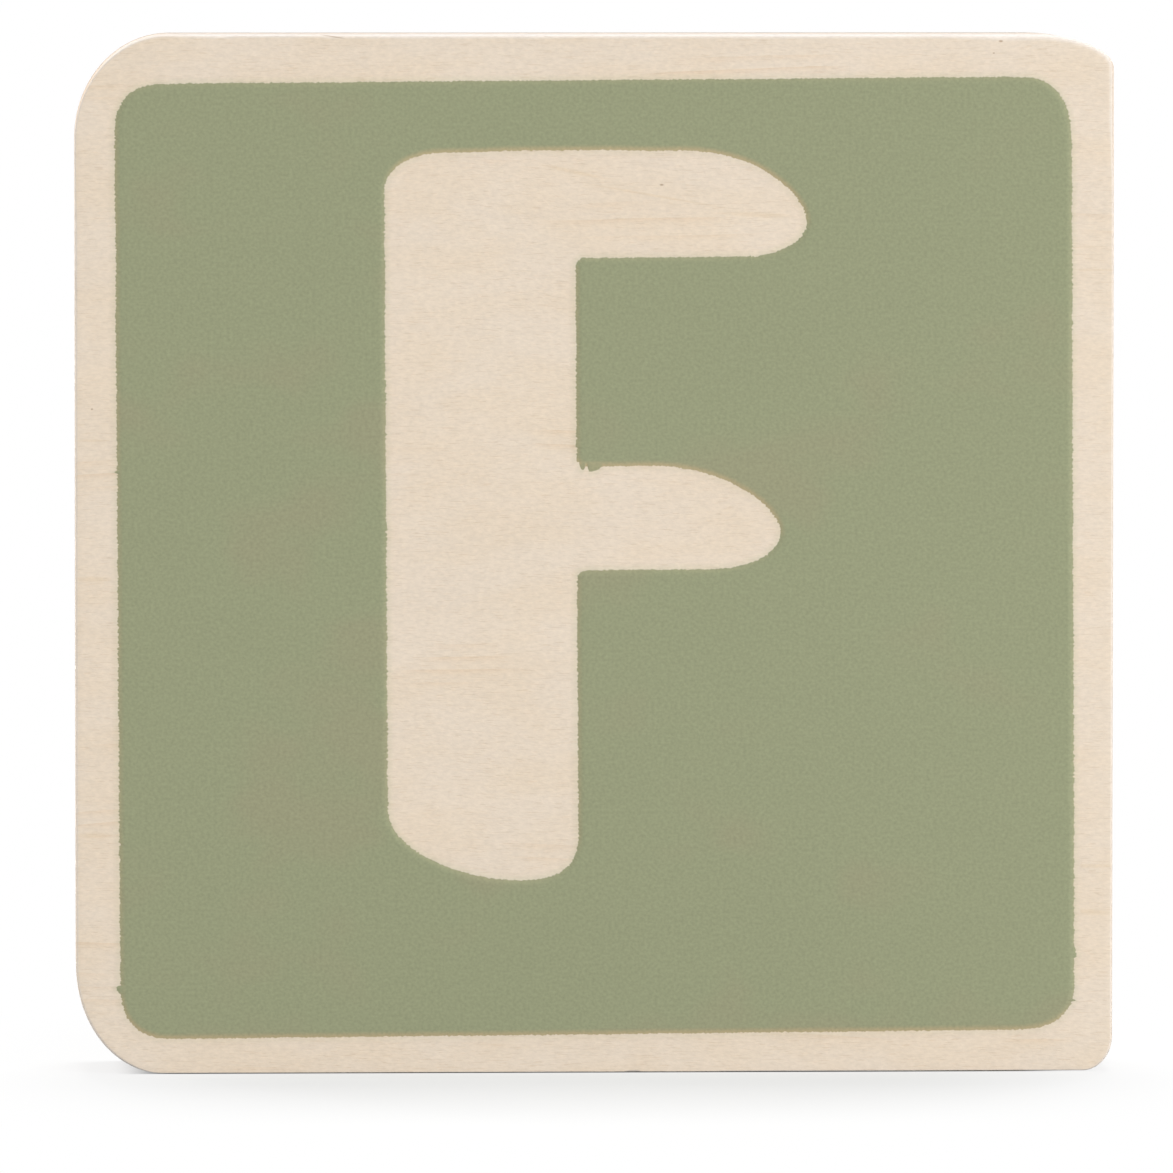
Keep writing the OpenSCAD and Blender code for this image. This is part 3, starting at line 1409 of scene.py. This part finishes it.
@dataclass(frozen=True)
class Studio:
    """Pale floor, even surroundings and soft lamps."""

    lamps: tuple[SoftBox, ...]
    camera: PortraitCamera
    floor_size: float = 60.0
    floor_drop: float = 0.045
    floor_tone: Colour = (0.28, 0.28, 0.28)
    floor_bounce: Colour = (0.14, 0.14, 0.14)
    floor_glow: float = 0.650
    # Reach of painted white light on the floor, on an ellipse about the tile, that fades the tile's
    # shadow out at its ends
    floor_white: tuple[float, float] = (0.016, 0.041)
    floor_stretch: Colour = (1.0, 0.62, 1.0)
    # Where the floor's glow is left out under the tile's foot: a painted dark contact shadow in the gap
    foot_ends: tuple[float, float] = (0.024, 0.028)
    foot_side: tuple[float, float] = (0.0042, 0.0046)
    surround: float = 0.30

    def set_up(self) -> None:
        """Lays the floor, lights the tile and places the camera."""
        low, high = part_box("front_veneer")
        self.lay_floor()
        self.light_surroundings()
        for lamp in self.lamps:
            lamp.place(Vector((0.0, 0.0, (low.z + high.z) / 2)))
        self.camera.place(low.y)
        bpy.context.scene.view_settings.view_transform = "Standard"

    def lay_floor(self) -> None:
        """Lays a wide floor that looks white and keeps the tile's shadow, with a painted contact shadow
        under the foot and painted light that fades the shadow out at its ends.
        """
        deselect_all()
        bpy.ops.mesh.primitive_plane_add(size=self.floor_size, location=(0.0, 0.0, -self.floor_drop * MM))
        floor = bpy.context.object
        floor.name = "studio_floor"
        material = bpy.data.materials.new("studio_floor_white")
        material.use_nodes = True
        material.node_tree.nodes.clear()
        recipe = Recipe(material.node_tree)
        seen = seen_directly(recipe)
        tone = recipe.blend("MIX", seen, self.floor_bounce, self.floor_tone)
        matte = recipe.node("ShaderNodeBsdfDiffuse", {"Color": tone})
        place = recipe.node("ShaderNodeTexCoord").outputs["Object"]
        # The glow is left out under the tile's foot, which paints a dark contact shadow there
        glow_share = recipe.math("MULTIPLY", seen, self.beside_foot(recipe, place))
        strength = recipe.math("MULTIPLY", glow_share, self.floor_glow)
        glow = recipe.node("ShaderNodeEmission", {"Strength": strength})
        near = recipe.node("ShaderNodeAddShader")
        recipe.feed(near.inputs[0], matte.outputs["BSDF"])
        recipe.feed(near.inputs[1], glow.outputs["Emission"])
        white = recipe.node("ShaderNodeEmission")
        # Painted light: the floor turns to white emission with distance on an ellipse about the tile,
        # fading the tile's real shadow out at its ends
        away = recipe.vector("LENGTH", recipe.vector("MULTIPLY", place, self.floor_stretch))
        far = recipe.step(away, *self.floor_white)
        whole = recipe.node("ShaderNodeMixShader", {"Fac": recipe.math("MULTIPLY", far, glow_share)})
        recipe.feed(whole.inputs[1], near.outputs["Shader"])
        recipe.feed(whole.inputs[2], white.outputs["Emission"])
        recipe.node("ShaderNodeOutputMaterial", {"Surface": whole.outputs["Shader"]})
        floor.data.materials.append(material)

    def beside_foot(self, recipe: Recipe, place: Socket) -> Socket:
        """Mask of the floor that the tile does not stand on, where the floor glows; the glow is left out
        under the foot, which paints a dark contact shadow in the gap below the tile.

        Args:
            recipe: The floor's recipe.
            place: Place on the floor, in metres.

        Returns:
            The mask.
        """
        along = recipe.node("ShaderNodeSeparateXYZ", {"Vector": place})
        ends = recipe.step(recipe.math("ABSOLUTE", along.outputs["X"]), *self.foot_ends)
        sides = recipe.step(recipe.math("ABSOLUTE", along.outputs["Y"]), *self.foot_side)
        return recipe.math("MAXIMUM", ends, sides)

    def light_surroundings(self) -> None:
        """Makes the surroundings white to the eye and an even soft light to the tile."""
        world = bpy.data.worlds.new("studio_surroundings")
        bpy.context.scene.world = world
        world.use_nodes = True
        recipe = Recipe(world.node_tree)
        background = world.node_tree.nodes["Background"]
        recipe.feed(background.inputs["Color"], (1.0, 1.0, 1.0, 1.0))
        seen = recipe.math("MULTIPLY", seen_directly(recipe), 1.0 - self.surround)
        recipe.feed(background.inputs["Strength"], recipe.math("ADD", seen, self.surround))


def seen_directly(recipe: Recipe) -> Socket:
    """Mask that is 1 for what the camera sees, also through glass and in a mirror.

    Args:
        recipe: The recipe of a material or of the surroundings.

    Returns:
        The mask.
    """
    path = recipe.node("ShaderNodeLightPath")
    mirrored = recipe.math("MAXIMUM", path.outputs["Is Glossy Ray"], path.outputs["Is Transmission Ray"])
    return recipe.math("MAXIMUM", path.outputs["Is Camera Ray"], mirrored)


# Dark flecks, and the painted shadow line of the splinter, on the front: place, length and height
FRONT_PINS = (
    PinMark(23.43, 59.61, 0.30, 0.15),
    PinMark(23.02, 58.92, 0.17, 0.09),
    PinMark(3.84, 51.33, 0.28, 0.12),
    PinMark(-29.03, 38.42, 0.15, 0.12),
    # Painted shadow line of the splinter where the sanded stretch of the top arris ends
    PinMark(-15.20, 59.89, 1.70, 0.07, tilt=-8.4),
)

# Faint growth streaks on the front: place, length and height
FRONT_STREAKS = (
    PinMark(3.50, 50.70, 10.0, 0.16, tilt=-10.0),
    PinMark(9.40, 49.60, 4.5, 0.35, tilt=-3.0),
    PinMark(-1.30, 52.10, 4.0, 0.30, tilt=-12.0),
    PinMark(28.80, 11.88, 3.2, 0.30),
    PinMark(28.80, 9.20, 3.0, 0.36, tilt=-4.0),
    PinMark(28.80, 46.40, 3.0, 0.16),
    PinMark(-29.00, 28.60, 2.8, 0.34),
    PinMark(-29.00, 13.80, 2.6, 0.36),
    PinMark(-29.00, 36.60, 2.4, 0.16),
)

FRONT_WOOD = BirchFinish(
    "birch_front_face", Grain.LEVEL, (13.0, 4.0, 7.0), pin_marks=FRONT_PINS, streaks=FRONT_STREAKS
)

# How the front arris was sanded by hand, along the top, the corners and the bottom
FRONT_WEAR = (
    ArrisWear(x=0.0, z=60.0, half_length=24.0, depth=0.12, fade=8.0),
    ArrisWear(x=27.0, z=57.5, half_length=3.5, depth=0.14, fade=3.0, half_height=2.5),
    ArrisWear(x=-28.0, z=56.0, half_length=3.0, depth=-0.09, fade=3.0, half_height=4.0),
    ArrisWear(x=-18.3, z=60.0, half_length=2.4, depth=-0.06, fade=0.5),
    ArrisWear(x=1.5, z=0.0, half_length=27.0, depth=-0.11, fade=1.5),
    ArrisWear(x=2.2, z=0.0, half_length=0.3, depth=0.08, fade=0.2),
    ArrisWear(x=18.5, z=0.0, half_length=11.0, depth=0.03, fade=0.4),
)

# Spurs, nicks and drifts of the print: place, pull and reach
PRINT_FLAWS = (
    PrintFlaw(-27.30, 5.04, pull=(-0.23, 0.0), back=0.45, ahead=0.06),
    PrintFlaw(27.59, 4.08, pull=(0.22, 0.0), back=0.08, ahead=0.08),
    PrintFlaw(27.66, 6.62, pull=(0.12, 0.0), back=0.10, ahead=0.60),
    PrintFlaw(-27.60, 34.78, pull=(-0.12, 0.0), back=0.08, ahead=0.08),
    PrintFlaw(-0.70, 35.02, pull=(0.0, -0.24), back=0.20, ahead=0.14, level=True),
    PrintFlaw(-0.32, 35.02, pull=(0.0, -0.30), back=0.10, ahead=0.80, level=True),
    PrintFlaw(-12.05, 31.29, pull=(-0.12, 0.0), back=0.09, ahead=0.09),
    PrintFlaw(-12.05, 31.35, pull=(0.06, 0.0), back=0.50, ahead=0.50),
    PrintFlaw(-8.60, 53.20, pull=(0.0, -0.07), back=2.50, ahead=3.50, level=True),
    PrintFlaw(4.60, 53.30, pull=(0.0, -0.06), back=3.50, ahead=3.50, level=True),
    PrintFlaw(6.20, 34.60, pull=(0.0, 0.06), back=3.00, ahead=3.00, level=True),
    PrintFlaw(12.00, 49.80, pull=(0.0, -0.14), back=3.50, ahead=2.60, nearest=3.0),
)

SOFT_BOXES = (
    SoftBox("overhead", azimuth=175.0, elevation=73.0, distance=0.9, size=0.34, watts=6.2),
    SoftBox("top_front", azimuth=20.0, elevation=60.0, distance=1.2, size=0.5, watts=2.9),
    SoftBox("front_right", azimuth=60.0, elevation=0.0, distance=0.5, size=0.055, watts=2.08),
    SoftBox("front_left", azimuth=-60.0, elevation=0.0, distance=0.5, size=0.055, watts=1.10),
    SoftBox("left_edge", azimuth=-100.0, elevation=5.0, distance=0.5, size=0.1, watts=0.55),
    SoftBox("back_left", azimuth=-140.0, elevation=0.0, distance=0.5, size=0.055, watts=1.0),
    SoftBox("back_right", azimuth=150.0, elevation=0.0, distance=0.5, size=0.055, watts=0.5),
)


def face_veneers() -> tuple[FaceVeneer, ...]:
    """Chooses the wood of the two face veneers.

    Returns:
        The front veneer and the back veneer.
    """
    back = BirchFinish("birch_back_face", Grain.LEVEL, (171.0, 40.0, 93.0))
    return (
        FaceVeneer("front_veneer", Facing.FRONT, FRONT_WOOD, FRONT_WEAR),
        FaceVeneer("back_veneer", Facing.BACK, back),
    )


def inner_plies() -> tuple[InnerPly, ...]:
    """Chooses the five plies inside, each from its own stretch of the log.

    Returns:
        The plies from front to back.
    """
    # Node, run of the fibres, slot, and how far the edge lies in, in millimetres
    order = (
        ("front_crossband", Grain.UPRIGHT, CROSS_PLIES, 0.02),
        ("front_inner_ply", Grain.LEVEL, LONG_PLIES, 0.0),
        ("core_ply", Grain.UPRIGHT, CROSS_PLIES, 0.015),
        ("back_inner_ply", Grain.LEVEL, LONG_PLIES, 0.005),
        ("back_crossband", Grain.UPRIGHT, CROSS_PLIES, 0.02),
    )
    log_step = (47.0, 11.0, 29.0)
    edge_tone = (0.790, 0.709, 0.629)
    plies = []
    for count, (node, grain, slot, draw_in) in enumerate(order, start=1):
        start = tuple(count * step for step in log_step)
        finish = BirchFinish(f"birch_{node}", grain, start, tone=edge_tone)
        plies.append(InnerPly(node, finish, slot, draw_in))
    return tuple(plies)


def main() -> None:
    """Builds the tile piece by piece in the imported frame, then lights it."""
    logging.basicConfig(level=logging.INFO, format="%(name)s: %(message)s")
    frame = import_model()
    nodes = frame["nodes"]
    effects = SharedEffects.build()
    cutter = SheetCutter(TileOutline.of_node(nodes["core_ply"]))
    made = []

    for veneer in face_veneers():
        piece = veneer.build(cutter, nodes[veneer.node])
        veneer.dress(piece, effects)
        made.append(piece)
    for ply in inner_plies():
        piece = ply.build(cutter)
        ply.dress(piece, effects)
        made.append(piece)
    glue = GlueFinish().material(effects)
    for node in sorted(name for name in nodes if name.startswith("glue_line")):
        line = GlueLine(node)
        piece = line.build(cutter)
        line.dress(piece, glue)
        made.append(piece)
    painted = PaintedField(SagePaint(FRONT_WOOD), PRINT_FLAWS)
    piece = painted.build(nodes[painted.node])
    painted.dress(piece, effects)
    made.append(piece)
    for piece in made:
        LOG.info("%s: %d faces", piece.name, len(piece.data.polygons))

    Studio(SOFT_BOXES, PortraitCamera()).set_up()


if __name__ == "__main__":
    main()
